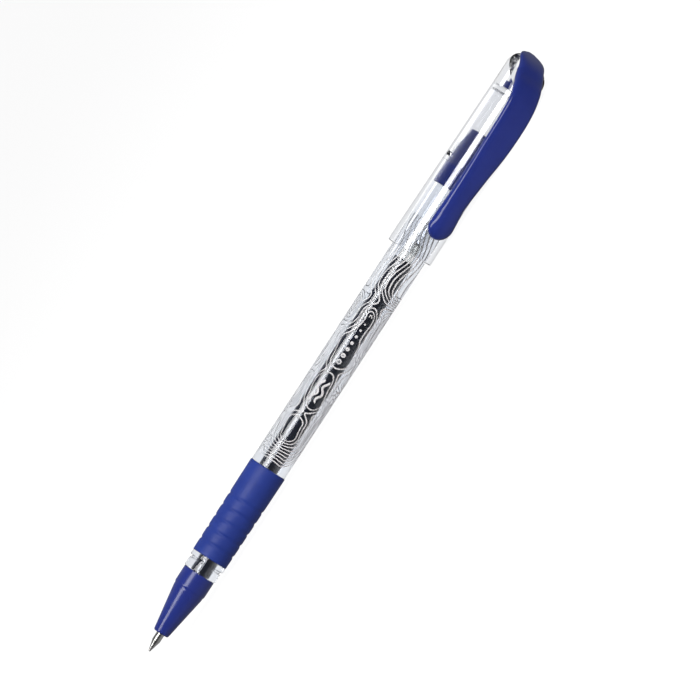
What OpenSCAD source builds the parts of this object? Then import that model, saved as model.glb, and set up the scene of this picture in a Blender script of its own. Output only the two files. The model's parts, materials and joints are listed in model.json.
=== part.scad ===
// Stick gel pen with its cap pushed onto the rear end.
//
// Clear barrel and cap, blue nose cone, rubber grip, rear plug and clip, and a
// gel refill inside. Every piece is drawn along its own axis with the ball's
// front at z = 0 and the clip on the +X side. lay_down() then puts the pen on
// its side as it lies on a table, tip towards -X, resting on the cap's lip and
// the edge of the clip.

/* [Barrel] */
// Outer diameter of the clear barrel
barrel_d = 9; // [8.9:0.05:9.1]
// Bore of the barrel along its window
barrel_bore_d = 6.8; // [6.6:0.1:7]
// Length of the clear window, from the grip to the rear plug
window_l = 77.3; // [76:0.1:79]
// Bore through the barrel's front end, which guides the refill
front_bore_d = 5.2; // [5.1:0.05:5.3]
// Diameter of the front spigot that the nose cone screws onto
spigot_d = 6.6; // [6.4:0.1:6.6]
// Length of the front spigot
spigot_l = 5; // [4.5:0.1:5.1]
// Diameter of the collar ring next to the nose cone
collar_d = 8.32; // [8.1:0.02:8.4]
// Width of that ring
collar_w = 2.3; // [2.1:0.1:2.4]
// Diameter of the barrel under the grip and in the groove between the rings
seat_d = 7.7; // [7.6:0.05:7.8]
// Width of the groove
groove_w = 0.6; // [0.5:0.1:0.7]
// Diameter of the flange that the grip butts against
flange_d = 8.84; // [8.7:0.02:8.9]
// Width of the flange
flange_w = 1.3; // [1.2:0.1:1.5]

/* [Grip] */
// Length of the rubber grip
grip_l = 25; // [24:0.5:26]
// Diameter of the grip at the flange
grip_front_d = 8.98; // [8.9:0.02:9.1]
// Diameter of the grip at the window
grip_rear_d = 9.36; // [9.2:0.02:9.4]
// Number of grooves round the grip
grip_grooves = 5; // [3:1:6]
// Spacing of the grooves
grip_pitch = 3.07; // [2.8:0.01:3.2]
// Depth of each groove
grip_groove_depth = 0.2; // [0.1:0.02:0.3]
// Width of each groove
grip_groove_w = 0.8; // [0.6:0.1:1]

/* [Nose] */
// Length of the nose cone
nose_l = 16.6; // [16.4:0.1:16.8]
// Diameter of the nose cone's straight part, where the cap seals
nose_d = 8; // [7.9:0.05:8.1]
// Diameter of the nose cone's front end
nose_front_d = 3.84; // [3.7:0.02:4]
// Length of the cone itself
nose_cone_l = 11.5; // [11.4:0.1:11.6]

/* [Refill] */
// How far the steel tip stands out of the nose cone
tip_reach = 4.9; // [4.7:0.1:5.1]
// Diameter of the writing ball
ball_d = 0.5; // [0.5:0.05:0.7]
// Diameter of the steel tip's shank
tip_d = 2; // [1.9:0.05:2.05]
// Length of the steel tip's cone
tip_cone_l = 2.8; // [2.6:0.1:3]
// Outer diameter of the refill tube
refill_d = 4.9; // [4.8:0.05:4.95]
// Bore of the refill tube
refill_bore_d = 3.9; // [3.8:0.05:4]
// Distance from the ball to the refill tube's open end
refill_end = 125.5; // [122:0.5:126]
// Distance from the ball to the end of the ink
ink_end = 108.6; // [60:0.1:115]
// Length of the grease plug that follows the ink
follower_l = 5; // [3:0.5:6]

/* [Rear plug] */
// Length of the plug behind the barrel
plug_l = 15; // [14.8:0.1:15.2]
// Diameter of the plug
plug_d = 8.94; // [8.9:0.02:9]
// Diameter of the plug's flat end
plug_end_d = 7; // [6.8:0.1:7]

/* [Cap] */
// Distance from the rear plug's end back to the cap's lip
cap_overlap = 32.2; // [32:0.1:32.4]
// Length of the cap, from its lip to the end of the clip's crown
cap_l = 54.5; // [54.4:0.1:54.6]
// Outer diameter of the cap at its lip
cap_lip_d = 11.6; // [11.4:0.1:11.7]
// Outer diameter of the cap at its closed end
cap_d = 10.6; // [10.5:0.05:10.7]
// Bore of the cap's mouth
cap_bore_d = 9.9; // [9.8:0.05:10]
// Outer diameter of the inner cap
inner_cap_d = 9.6; // [9.5:0.05:9.65]
// Bore of the inner cap, where it seals on the nose cone
inner_cap_bore_d = 8.16; // [8.12:0.02:8.2]
// Diameter of the air hole in the side of the cap
vent_d = 1.2; // [0.8:0.1:1.4]

/* [Clip] */
// Greatest width of the clip
clip_w = 7.2; // [7:0.05:7.3]
// Distance from the pen's axis to the outside of the clip at its highest
clip_reach = 10.1; // [10.1:0.05:10.3]
// Diameter of the crown that closes the cap
crown_d = 7.1; // [7:0.05:7.15]
// Slope of the crown's top, down towards the clip
crown_tilt = 22; // [20:1:24]
// Angle of the clip below the horizontal when the pen lies on a table
clip_roll = 15; // [12:1:20]

/* [Hidden] */
$fn = 96;

// Clearances: a turning or sliding fit, a seat of two pieces of one body, and the ball in its socket
run_gap = 0.06;
seat_gap = 0.02;
ball_gap = 0.012;
// Overshoot of a cut past the surface that it opens, and the small bevel on moulded edges
over = 1;
edge = 0.15;

// Places along the pen, from the ball's front
nose_z = tip_reach;
cone_end_z = nose_z + nose_cone_l;
nose_end_z = nose_z + nose_l;
collar_end_z = nose_end_z + collar_w;
flange_z = collar_end_z + groove_w;
grip_z = flange_z + flange_w;
window_z = grip_z + grip_l;
plug_z = window_z + window_l;
pen_l = plug_z + plug_l;
cap_z = pen_l - cap_overlap;
crown_end_z = cap_z + cap_l;

// Barrel: rear spigot inside the hollow plug, and the cone where the bore widens
rear_spigot_r = 3.95;
rear_spigot_l = 6;
bore_cone_z = grip_z + 0.8;
bore_cone_l = 1.5;

// Grip: rounding of its ends, first groove's distance from the front, points per half groove
grip_edge_r = 0.3;
first_groove = 3.25;
groove_steps = 4;

// Nose cone: hole for the steel tip, counterbore for the holder, shoulder that stops the refill,
// and the narrow rim and step between the cone and the straight part
tip_hole_l = 2.5;
counterbore_r = 1.55;
refill_gap = 0.1;
shoulder_z = nose_z + 7;
spigot_z = nose_end_z - spigot_l;
nose_edge_r = 0.4;
cone_angle = 10;
cone_end_share = 0.95;
cone_rim_l = 0.5;
cone_step_l = 0.5;

// Refill: the holder's nozzle, flange and rear end, its feed bore, and the grease's hollow end
holder_z = nose_z + 2.9;
holder_nozzle_r = 1.45;
holder_flange_l = 1.2;
feed_r = 0.75;
stem_end_z = holder_z + 3.2;
tube_z = shoulder_z + run_gap + holder_flange_l;
holder_end_z = tube_z + 5;
meniscus_l = 0.8;

// Steel tip: rim that holds the ball in, step behind the cone, ink channel and its throat
rim_z = 0.15;
rim_r = 0.28;
tip_step = 0.06;
channel_r = 0.55;
channel_z = 1.6;
channel_cone_l = 0.9;
throat_r = 0.15;

// Rear plug: straight length, rounded edge, wall of its end, inside and air hole
plug_straight_l = 3.5;
plug_edge_r = 0.7;
plug_end_t = 1.2;
plug_cavity_r = 2.9;
plug_vent_r = 0.5;

// Crown: thickness, bevel round its rim, how far it reaches down over the cap's flat, and the two
// small blind holes in its top
crown_t = 1.2;
crown_bevel = 0.3;
crown_l = 4.2;
crown_hole_d = 0.5;
crown_hole_depth = 0.5;
CROWN_HOLES = [[-2.3, 0.7], [-1.9, 1.7]];

// Cap: inner cap's place, solid end block, rounded shoulder, lip's rounding, air hole's place
inner_cap_z = cap_z + 22.8;
inner_cap_end_z = cap_z + 44;
inner_cap_end_t = 1;
inner_cone_l = 5.4;
inner_corner_r = 0.8;
block_z = inner_cap_end_z + 0.1;
shoulder_r = 4.87;
shoulder_start_z = crown_end_z - 4.9;
cap_end_z = slope_z(-crown_d / 2) - crown_t;
pocket_r = 3.1;
lip_edge_r = 0.4;
vent_l = 24.4;

// Clip's root: shank in the pocket, with a bead at its end
shank_r = 2.35;
bead_r = 3;
bead_l = 1.6;

// Flat on the cap's end block that the clip's root lies on, below the slope under the crown
flat_angle = 45;
flat_z = crown_end_z - 4.7;
flat_x = 0.55;
flat_gap = 0.08;

// Clip's stations: distance back from the crown's end, how far the outside lies below clip_reach,
// thickness, how much narrower than clip_w, and squareness of the section
CLIP_STATIONS = [
    [1.2, 9.3, 3.20, 0.60, 3.6],
    [2.6, 8.1, 3.20, 0.30, 3.6],
    [4.7, 5.85, 3.20, 0.00, 3.6],
    [7.3, 3.3, 3.20, 0.00, 3.6],
    [11.3, 1.2, 1.75, 0.00, 3.6],
    [16.5, 0.15, 1.75, 0.05, 3.6],
    [24.0, 0.12, 1.95, 0.40, 3.4],
    [31.5, 0.7, 2.50, 1.30, 3.0],
    [39.3, 1.35, 3.00, 1.80, 2.6],
    [45.6, 0.95, 3.30, 1.05, 2.2],
    [48.5, 0.95, 3.30, 1.05, 2.2]
];
root_back = 2.6;
flex_back = 13.3;
flex_gap = 0.1;
paddle_back = 45.6;
clip_end_back = 49.2;
clip_sides = 24;
root_steps = 12;
arm_steps = 24;
end_steps = 6;

function mix(a, b, t) = a + (b - a) * t;
function signed_pow(v, p) = sign(v) * pow(abs(v), p);

// Points of an arc about (r, z), from angle a0 to angle a1
function arc(r, z, radius, a0, a1, steps = 8) =
    [for (i = [0:steps])
        let (a = mix(a0, a1, i / steps))
        [r + radius * cos(a), z + radius * sin(a)]
    ];

// Index of the clip station just before a distance back from the crown's end
function station_before(back, i = 1) =
    i >= len(CLIP_STATIONS) - 3 || CLIP_STATIONS[i + 1][0] >= back ? i : station_before(back, i + 1);

// Slope of the clip's measures at a station
function clip_slope(i) =
    (CLIP_STATIONS[i + 1] - CLIP_STATIONS[i - 1]) / (CLIP_STATIONS[i + 1][0] - CLIP_STATIONS[i - 1][0]);

// Clip's measures at a distance back from the crown's end, on a smooth curve through the stations
function clip_at(back) =
    let (i = station_before(back))
    let (here = CLIP_STATIONS[i])
    let (next = CLIP_STATIONS[i + 1])
    let (span = next[0] - here[0])
    let (t = (back - here[0]) / span)
    (2 * pow(t, 3) - 3 * pow(t, 2) + 1) * here
        + (pow(t, 3) - 2 * pow(t, 2) + t) * span * clip_slope(i)
        + (3 * pow(t, 2) - 2 * pow(t, 3)) * next
        + (pow(t, 3) - pow(t, 2)) * span * clip_slope(i + 1);

// Shrinkage that rounds off the clip's free end
function end_shrink(back) =
    let (t = max(0, (back - paddle_back) / (clip_end_back - paddle_back)))
    sqrt(max(0.0025, 1 - pow(t, 2)));

// One closed section of the clip: a rounded rectangle across the pen's axis
function clip_ring(back) =
    let (m = clip_at(min(back, paddle_back)))
    let (half_t = m[2] / 2)
    let (half_w = (clip_w - m[3]) / 2)
    [for (k = [0:clip_sides - 1])
        let (a = 360 * k / clip_sides)
        [
            clip_reach - m[1] - half_t + end_shrink(back) * half_t * signed_pow(cos(a), 2 / m[4]),
            end_shrink(back) * half_w * signed_pow(sin(a), 2 / m[4]),
            crown_end_z - back
        ]
    ];

// Rings of the clip between two distances back from the crown's end
function clip_rings(from, to, steps) =
    [for (i = [0:steps]) clip_ring(mix(from, to, i / steps))];

// Rings of the rounded free end, closer together towards its tip
function end_rings(steps) =
    [for (i = [1:steps]) clip_ring(mix(paddle_back, clip_end_back, sin(90 * i / steps)))];

// Rings of the clip's root and of its arm, and how far they reach sideways and down once laid down
ROOT_RINGS = clip_rings(root_back, flex_back - flex_gap / 2, root_steps);
ARM_RINGS = concat(clip_rings(flex_back + flex_gap / 2, paddle_back, arm_steps), end_rings(end_steps));
CLIP_OUTLINE = [for (ring = concat(ROOT_RINGS, ARM_RINGS)) each ring];
clip_out = max([for (p = CLIP_OUTLINE) p[0] * cos(clip_roll) - p[1] * sin(clip_roll)]);
clip_down = max([for (p = CLIP_OUTLINE) p[0] * sin(clip_roll) + p[1] * cos(clip_roll)]);
rest_h = max(cap_lip_d / 2, clip_down);

// Closed surface through a list of rings
module skin(rings) {
    n = len(rings[0]);
    last = len(rings) - 1;
    sides = [for (i = [0:last - 1], k = [0:n - 1])
        let (j = (k + 1) % n)
        each [
            [i * n + k, i * n + j, (i + 1) * n + j],
            [i * n + k, (i + 1) * n + j, (i + 1) * n + k]
        ]
    ];
    first_cap = [for (k = [n - 1:-1:0]) k];
    last_cap = [for (k = [0:n - 1]) last * n + k];
    polyhedron(points = [for (r = rings) each r], faces = concat([first_cap], sides, [last_cap]));
}

// Outline in radius and height, turned round the pen's axis
module turned(outline) {
    rotate_extrude() polygon(outline);
}

// Height of the crown's top at a place towards the clip. It falls from the crown's far rim
function slope_z(x) = crown_end_z - (crown_d / 2 - crown_bevel + x) * tan(crown_tilt);

// Everything above the crown's top, moved down by a depth
module above_slope(depth) {
    translate([0, 0, slope_z(0) - depth])
        rotate([0, crown_tilt, 0])
            translate([-cap_d, -cap_d, 0])
                cube([2 * cap_d, 2 * cap_d, cap_d]);
}

// Everything above the cap's end, its slope and its flat on the clip's side, moved out by a gap
module past_end(gap) {
    above_slope(crown_t - gap);
    translate([flat_x + gap, 0, flat_z])
        rotate([0, -flat_angle, 0])
            translate([0, -cap_d, -cap_d])
                cube([cap_d, 2 * cap_d, 2 * cap_d]);
}

// Lays the pen on its side, with the origin under the middle of its bounding box
module lay_down() {
    translate([-crown_end_z / 2, (clip_out - cap_lip_d / 2) / 2, rest_h])
        rotate([0, 90, 0])
            rotate([0, 0, clip_roll - 90])
                children();
}

// Clear moulded tube with a spigot at each end and two rings in front of the grip
module barrel() {
    seat_r = seat_d / 2;
    bore_r = barrel_bore_d / 2;
    color([0.86, 0.88, 0.92, 0.35]) lay_down() turned([
        [front_bore_d / 2, spigot_z],
        [spigot_d / 2 - edge, spigot_z],
        [spigot_d / 2, spigot_z + edge],
        [spigot_d / 2, nose_end_z],
        [collar_d / 2 - edge, nose_end_z],
        [collar_d / 2, nose_end_z + edge],
        [collar_d / 2, collar_end_z - edge],
        [collar_d / 2 - edge, collar_end_z],
        [seat_r, collar_end_z],
        [seat_r, flange_z],
        [flange_d / 2 - edge, flange_z],
        [flange_d / 2, flange_z + edge],
        [flange_d / 2, grip_z],
        [seat_r, grip_z],
        [seat_r, window_z],
        [barrel_d / 2, window_z],
        [barrel_d / 2, plug_z],
        [rear_spigot_r, plug_z],
        [rear_spigot_r, plug_z + rear_spigot_l],
        [bore_r, plug_z + rear_spigot_l],
        [bore_r, bore_cone_z + bore_cone_l],
        [front_bore_d / 2, bore_cone_z]
    ]);
}

// Rubber grip with shallow round grooves, slightly thicker towards the window
module grip_sleeve() {
    function skin_r(z) = mix(grip_front_d, grip_rear_d, (z - grip_z) / grip_l) / 2;
    groove_points = [for (i = [0:grip_grooves - 1], k = [-groove_steps:groove_steps])
        let (z = grip_z + first_groove + i * grip_pitch + k * grip_groove_w / 2 / groove_steps)
        [skin_r(z) - grip_groove_depth * (1 + cos(180 * k / groove_steps)) / 2, z]
    ];
    color([0.16, 0.22, 0.58]) lay_down() turned(concat(
        [[seat_d / 2 + seat_gap, grip_z + seat_gap]],
        arc(skin_r(grip_z) - grip_edge_r, grip_z + seat_gap + grip_edge_r, grip_edge_r, -90, 0),
        groove_points,
        arc(skin_r(window_z) - grip_edge_r, window_z - seat_gap - grip_edge_r, grip_edge_r, 0, 90),
        [[seat_d / 2 + seat_gap, window_z - seat_gap]]
    ));
}

// Hollow bullet-shaped plug over the barrel's rear spigot, with an air hole in its end
module rear_plug() {
    plug_r = plug_d / 2;
    end_r = plug_end_d / 2;
    taper_z = plug_z + plug_straight_l;
    taper_l = plug_l - plug_straight_l - plug_edge_r;
    bulge_r = (pow(taper_l, 2) + pow(plug_r - end_r, 2)) / (2 * (plug_r - end_r));
    bulge_a = asin(taper_l / bulge_r);
    color([0.13, 0.17, 0.55]) lay_down() turned(concat(
        [
            [plug_cavity_r, pen_l - plug_end_t],
            [plug_cavity_r, plug_z + rear_spigot_l + seat_gap],
            [rear_spigot_r + seat_gap, plug_z + rear_spigot_l + seat_gap],
            [rear_spigot_r + seat_gap, plug_z + seat_gap],
            [plug_r - edge, plug_z + seat_gap],
            [plug_r, plug_z + seat_gap + edge]
        ],
        arc(plug_r - bulge_r, taper_z, bulge_r, 0, bulge_a, 12),
        arc(end_r - plug_edge_r, pen_l - plug_edge_r, plug_edge_r, bulge_a, 90),
        [
            [plug_vent_r, pen_l],
            [plug_vent_r, pen_l - plug_end_t]
        ]
    ));
}

// Cone that screws onto the barrel and holds the refill's front
module nose_cone() {
    front_r = nose_front_d / 2;
    cone_r = cone_end_share * nose_d / 2;
    color([0.13, 0.17, 0.55]) lay_down() turned(concat(
        [
            [spigot_d / 2 + run_gap, nose_end_z - run_gap],
            [spigot_d / 2 + run_gap, spigot_z - run_gap],
            [refill_d / 2 + refill_gap, spigot_z - run_gap],
            [refill_d / 2 + refill_gap, shoulder_z],
            [counterbore_r, shoulder_z],
            [counterbore_r, nose_z + tip_hole_l],
            [tip_d / 2 + run_gap, nose_z + tip_hole_l],
            [tip_d / 2 + run_gap, nose_z]
        ],
        arc(front_r - nose_edge_r, nose_z + nose_edge_r, nose_edge_r, -90, -cone_angle),
        [
            [cone_r, cone_end_z],
            [cone_r, cone_end_z + cone_rim_l],
            [nose_d / 2, cone_end_z + cone_rim_l + cone_step_l],
            [nose_d / 2, nose_end_z - run_gap - edge],
            [nose_d / 2 - edge, nose_end_z - run_gap]
        ]
    ));
}

// Clear plastic tube that holds the ink
module refill_tube() {
    color([0.9, 0.9, 0.92, 0.35]) lay_down() turned([
        [refill_bore_d / 2, tube_z],
        [refill_d / 2, tube_z],
        [refill_d / 2, refill_end],
        [refill_bore_d / 2, refill_end]
    ]);
}

// Gel ink in the tube, and in the feed bore of the tip's holder
module ink_column() {
    ink_r = refill_bore_d / 2 - seat_gap;
    color([0.04, 0.05, 0.1]) lay_down() turned([
        [0, stem_end_z + seat_gap],
        [feed_r - seat_gap, stem_end_z + seat_gap],
        [feed_r - seat_gap, holder_end_z + seat_gap],
        [ink_r, holder_end_z + seat_gap],
        [ink_r, ink_end],
        [0, ink_end]
    ]);
}

// Grease plug behind the ink
module ink_follower() {
    color([0.85, 0.83, 0.7, 0.6]) lay_down() turned([
        [0, ink_end + seat_gap],
        [refill_bore_d / 2 - seat_gap, ink_end + seat_gap],
        [refill_bore_d / 2 - seat_gap, ink_end + follower_l],
        [0, ink_end + follower_l - meniscus_l]
    ]);
}

// Plastic holder that joins the steel tip to the refill tube
module tip_holder() {
    color([0.92, 0.92, 0.9]) lay_down() turned([
        [tip_d / 2 + seat_gap, holder_z],
        [holder_nozzle_r - edge, holder_z],
        [holder_nozzle_r, holder_z + edge],
        [holder_nozzle_r, tube_z - holder_flange_l],
        [refill_d / 2, tube_z - holder_flange_l],
        [refill_d / 2, tube_z - seat_gap],
        [refill_bore_d / 2 - seat_gap, tube_z - seat_gap],
        [refill_bore_d / 2 - seat_gap, holder_end_z],
        [feed_r, holder_end_z],
        [feed_r, stem_end_z],
        [tip_d / 2 + seat_gap, stem_end_z]
    ]);
}

// Steel tip with the ball's socket at its front and an ink channel behind it
module tip_body() {
    color([0.75, 0.75, 0.76]) lay_down() difference() {
        turned([
            [0, rim_z],
            [rim_r, rim_z],
            [tip_d / 2 - tip_step, tip_cone_l],
            [tip_d / 2, tip_cone_l + tip_step],
            [tip_d / 2, stem_end_z - seat_gap],
            [channel_r, stem_end_z - seat_gap],
            [channel_r, channel_z],
            [throat_r, channel_z - channel_cone_l],
            [0, channel_z - channel_cone_l]
        ]);
        translate([0, 0, ball_d / 2]) sphere(r = ball_d / 2 + ball_gap);
        translate([0, 0, ball_d / 2]) cylinder(h = channel_z, r = throat_r);
    }
}

// Tungsten carbide ball that rolls in the tip
module tip_ball() {
    color([0.6, 0.6, 0.62]) lay_down()
        translate([0, 0, ball_d / 2]) sphere(d = ball_d);
}

// Clear cap: tapered shell, solid end with a through pocket, and a flat for the clip's root
module cap_shell() {
    lip_r = cap_lip_d / 2;
    end_r = cap_d / 2;
    step_z = inner_cap_z - seat_gap;
    seat_r = inner_cap_d / 2 + seat_gap;
    shoulder_a = asin((cap_end_z - shoulder_start_z) / shoulder_r);
    color([0.88, 0.9, 0.93, 0.35]) lay_down() difference() {
        turned(concat(
            [
                [seat_r, block_z],
                [seat_r, step_z],
                [cap_bore_d / 2, step_z],
                [cap_bore_d / 2, cap_z + edge],
                [cap_bore_d / 2 + edge, cap_z]
            ],
            arc(lip_r - lip_edge_r, cap_z + lip_edge_r, lip_edge_r, -90, 0),
            [[end_r, block_z]],
            arc(end_r - shoulder_r, shoulder_start_z, shoulder_r, 0, shoulder_a, 16),
            [
                [pocket_r, cap_end_z],
                [pocket_r, block_z]
            ]
        ));
        past_end(0);
        translate([0, 0, cap_z + vent_l])
            rotate([90, 0, 0])
                cylinder(h = lip_r + over, d = vent_d);
    }
}

// Frosted clear inner cap that seals on the nose cone, closed at its far end
module inner_cap() {
    outer_r = inner_cap_d / 2;
    bore_r = inner_cap_bore_d / 2;
    floor_z = inner_cap_end_z - inner_cap_end_t;
    color([0.93, 0.94, 0.96, 0.45]) lay_down() turned(concat(
        [
            [0, inner_cap_end_z],
            [outer_r - edge, inner_cap_end_z],
            [outer_r, inner_cap_end_z - edge],
            [outer_r, inner_cap_z],
            [plug_d / 2 + run_gap, inner_cap_z],
            [bore_r, inner_cap_z + inner_cone_l]
        ],
        arc(bore_r - inner_corner_r, floor_z - inner_corner_r, inner_corner_r, 0, 90),
        [[0, floor_z]]
    ));
}

// Crown, shank and sloping root of the clip, one moulding with the arm
module clip_root() {
    crown_top_r = crown_d / 2 - crown_bevel;
    color([0.13, 0.17, 0.55]) lay_down() {
        difference() {
            intersection() {
                translate([0, 0, crown_end_z - crown_l])
                    cylinder(h = crown_l, d = crown_d);
                past_end(flat_gap);
                translate([0, 0, slope_z(0)])
                    rotate([0, crown_tilt, 0])
                        translate([0, 0, -crown_d])
                            scale([1 / cos(crown_tilt), 1, 1])
                                cylinder(h = crown_d, r1 = crown_top_r + crown_d, r2 = crown_top_r);
            }
            for (hole = CROWN_HOLES)
                translate([hole[0], hole[1], slope_z(hole[0]) - crown_hole_depth])
                    cylinder(h = crown_hole_depth + over, d = crown_hole_d);
        }
        difference() {
            turned([
                [0, block_z + edge],
                [bead_r - edge, block_z + edge],
                [bead_r, block_z + 2 * edge],
                [bead_r, block_z + bead_l],
                [shank_r, block_z + bead_l + edge],
                [shank_r, crown_end_z],
                [0, crown_end_z]
            ]);
            above_slope(crown_t / 2);
        }
        skin(ROOT_RINGS);
    }
}

// Springy arm of the clip, with a round pad at its free end that presses on the cap
module clip_arm() {
    color([0.13, 0.17, 0.55]) lay_down() skin(ARM_RINGS);
}

barrel();
grip_sleeve();
rear_plug();
nose_cone();
refill_tube();
ink_column();
ink_follower();
tip_holder();
tip_body();
tip_ball();
cap_shell();
inner_cap();
clip_root();
clip_arm();
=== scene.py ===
"""Looks of a capped gel pen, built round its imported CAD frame.

Lengths are millimetres until a point is placed in the frame, which is in metres. A place along the
pen is its distance from the front of the writing ball, and a place round the barrel is an arc length
from the line that faces the camera, counted upwards.
"""

import json
import math

import bmesh
import bpy
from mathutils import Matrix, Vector


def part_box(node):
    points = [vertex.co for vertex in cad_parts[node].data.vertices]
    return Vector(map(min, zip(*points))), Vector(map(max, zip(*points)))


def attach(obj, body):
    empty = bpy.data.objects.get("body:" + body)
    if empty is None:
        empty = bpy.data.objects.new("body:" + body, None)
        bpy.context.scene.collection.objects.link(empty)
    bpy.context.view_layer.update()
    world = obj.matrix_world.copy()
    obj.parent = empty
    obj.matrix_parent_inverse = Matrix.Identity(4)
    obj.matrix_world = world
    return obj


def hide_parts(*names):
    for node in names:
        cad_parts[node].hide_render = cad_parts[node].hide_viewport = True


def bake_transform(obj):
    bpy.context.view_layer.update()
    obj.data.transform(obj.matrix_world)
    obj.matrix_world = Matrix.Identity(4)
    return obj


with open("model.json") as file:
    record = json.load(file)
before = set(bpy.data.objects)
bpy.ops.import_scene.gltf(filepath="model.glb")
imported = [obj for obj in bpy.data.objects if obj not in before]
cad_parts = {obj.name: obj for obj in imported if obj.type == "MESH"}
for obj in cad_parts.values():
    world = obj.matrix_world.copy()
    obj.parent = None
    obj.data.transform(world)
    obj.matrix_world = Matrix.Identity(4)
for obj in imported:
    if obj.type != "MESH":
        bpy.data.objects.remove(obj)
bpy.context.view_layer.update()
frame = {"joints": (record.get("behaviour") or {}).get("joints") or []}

MM = 0.001
# Sides of a turned piece, the angle in degrees from which an edge is shaded sharp, and the length in
# mm under which an edge that a boolean leaves is merged away
SIDES = 144
SHARP_ANGLE = 35
SLIVER = 0.001
TIP_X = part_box("tip_ball")[0].x
BARREL_LOW, BARREL_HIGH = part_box("barrel")
AXIS_Y = (BARREL_LOW.y + BARREL_HIGH.y) / 2
AXIS_Z = (BARREL_LOW.z + BARREL_HIGH.z) / 2

# The camera's height above the horizon, and the clip's turn about the pen, downwards from -Y
CAMERA_ELEVATION = math.radians(8)
FLEX_AXIS = next(j["axis"] for j in frame["joints"] if j["name"] == "clip_flex")
CLIP_ROLL = math.atan2(-FLEX_AXIS[1], FLEX_AXIS[2])


def span(node):
    """Start and end of a CAD node along the pen."""
    low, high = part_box(node)
    return (low.x - TIP_X) / MM, (high.x - TIP_X) / MM


def radius(node):
    """Outer radius of a CAD node that is round about the pen's axis."""
    low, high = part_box(node)
    return (high.z - low.z) / 2 / MM


def place(along, across, up):
    """Point in the frame, from a place along the pen and offsets towards +Y and +Z of its axis."""
    return Vector((TIP_X + along * MM, AXIS_Y + across * MM, AXIS_Z + up * MM))


def round_axis(along, r, angle):
    """Point at a radius about the pen's axis. Angle 0 is towards -Y, and it grows upwards."""
    return place(along, -r * math.cos(angle), r * math.sin(angle))


def on_clip_side(out, side, along):
    """Point from its distance towards the clip, across the clip, and along the pen."""
    cos, sin = math.cos(CLIP_ROLL), math.sin(CLIP_ROLL)
    return place(along, side * sin - out * cos, -out * sin - side * cos)


# Places along the pen and radii that come from the frame
BARREL_START, BARREL_END = span("barrel")
GRIP_START, GRIP_END = span("grip_sleeve")
NOSE_START, NOSE_END = span("nose_cone")
PLUG_START, PLUG_END = span("rear_plug")
TUBE_START, TUBE_END = span("refill_tube")
INK_START, INK_END = span("ink_column")
GREASE_START, GREASE_END = span("ink_follower")
HOLDER_START, HOLDER_END = span("tip_holder")
STEEL_START, STEEL_END = span("tip_body")
CAP_START, CAP_END = span("cap_shell")
SEAL_START, SEAL_END = span("inner_cap")
CROWN_END = span("clip_root")[1]
BARREL_R = radius("barrel")
GRIP_R = radius("grip_sleeve")
NOSE_R = radius("nose_cone")
PLUG_R = radius("rear_plug")
TUBE_R = radius("refill_tube")
STEEL_R = radius("tip_body")
BALL_R = radius("tip_ball")
HOLDER_R = radius("tip_holder")
CAP_LIP_R = radius("cap_shell")
SEAL_R = radius("inner_cap")


# ---------------------------------------------------------------- mesh helpers


def rounded(outline, steps=5):
    """Closed outline of (along, radius, rounding) with each corner replaced by a smooth curve."""
    points = []
    for i, (x, r, size) in enumerate(outline):
        here = Vector((x, r))
        if not size:
            points.append(here)
            continue
        before = Vector(outline[i - 1][:2]) - here
        after = Vector(outline[(i + 1) % len(outline)][:2]) - here
        start = here + before.normalized() * min(size, before.length * 0.49)
        end = here + after.normalized() * min(size, after.length * 0.49)
        for k in range(steps + 1):
            t = k / steps
            points.append(start * (1 - t) ** 2 + here * 2 * t * (1 - t) + end * t**2)
    return points


def arc(along, r, size, start, end, steps=8):
    """Outline points on an arc about (along, r). Angle 0 is outwards, 90 degrees is towards the cap."""
    angles = [math.radians(start + (end - start) * k / steps) for k in range(steps + 1)]
    return [(along + size * math.sin(a), r + size * math.cos(a), 0) for a in angles]


def raw_object(name, bm):
    """Object with the mesh of a bmesh."""
    bmesh.ops.recalc_face_normals(bm, faces=bm.faces)
    mesh = bpy.data.meshes.new(name)
    bm.to_mesh(mesh)
    bm.free()
    obj = bpy.data.objects.new(name, mesh)
    bpy.context.scene.collection.objects.link(obj)
    return obj


def combine(obj, bm, operation):
    """Joins the solid in a bmesh to an object, or cuts it out."""
    tool = raw_object("tool", bm)
    boolean = obj.modifiers.new("boolean", "BOOLEAN")
    boolean.object = tool
    boolean.operation = operation
    boolean.solver = "EXACT"
    with bpy.context.temp_override(object=obj, active_object=obj):
        bpy.ops.object.modifier_apply(modifier="boolean")
    bpy.data.objects.remove(tool)
    bm = bmesh.new()
    bm.from_mesh(obj.data)
    bmesh.ops.remove_doubles(bm, verts=bm.verts, dist=SLIVER * MM)
    bmesh.ops.dissolve_degenerate(bm, edges=bm.edges, dist=SLIVER * MM)
    bm.to_mesh(obj.data)
    bm.free()


def shade(obj, material):
    """Gives an object its material and smooth shading that stops at its sharp edges."""
    bm = bmesh.new()
    bm.from_mesh(obj.data)
    for edge in bm.edges:
        edge.smooth = edge.calc_face_angle(0) < math.radians(SHARP_ANGLE)
    for face in bm.faces:
        face.smooth = True
    bm.to_mesh(obj.data)
    bm.free()
    obj.data.materials.append(material)
    weighted = obj.modifiers.new("even_shading", "WEIGHTED_NORMAL")
    weighted.keep_sharp = True
    return obj


def new_object(name, bm, material):
    """Shaded object from a bmesh."""
    return shade(raw_object(name, bm), material)


def join_rings(bm, first, second):
    """Adds the faces between two rings of vertices to a bmesh. A ring may be one point, repeated."""
    sides = len(first)
    for k in range(sides):
        corners = [first[k], first[(k + 1) % sides], second[(k + 1) % sides], second[k]]
        corners = list(dict.fromkeys(corners))
        if len(corners) > 2:
            bm.faces.new(corners)


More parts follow.
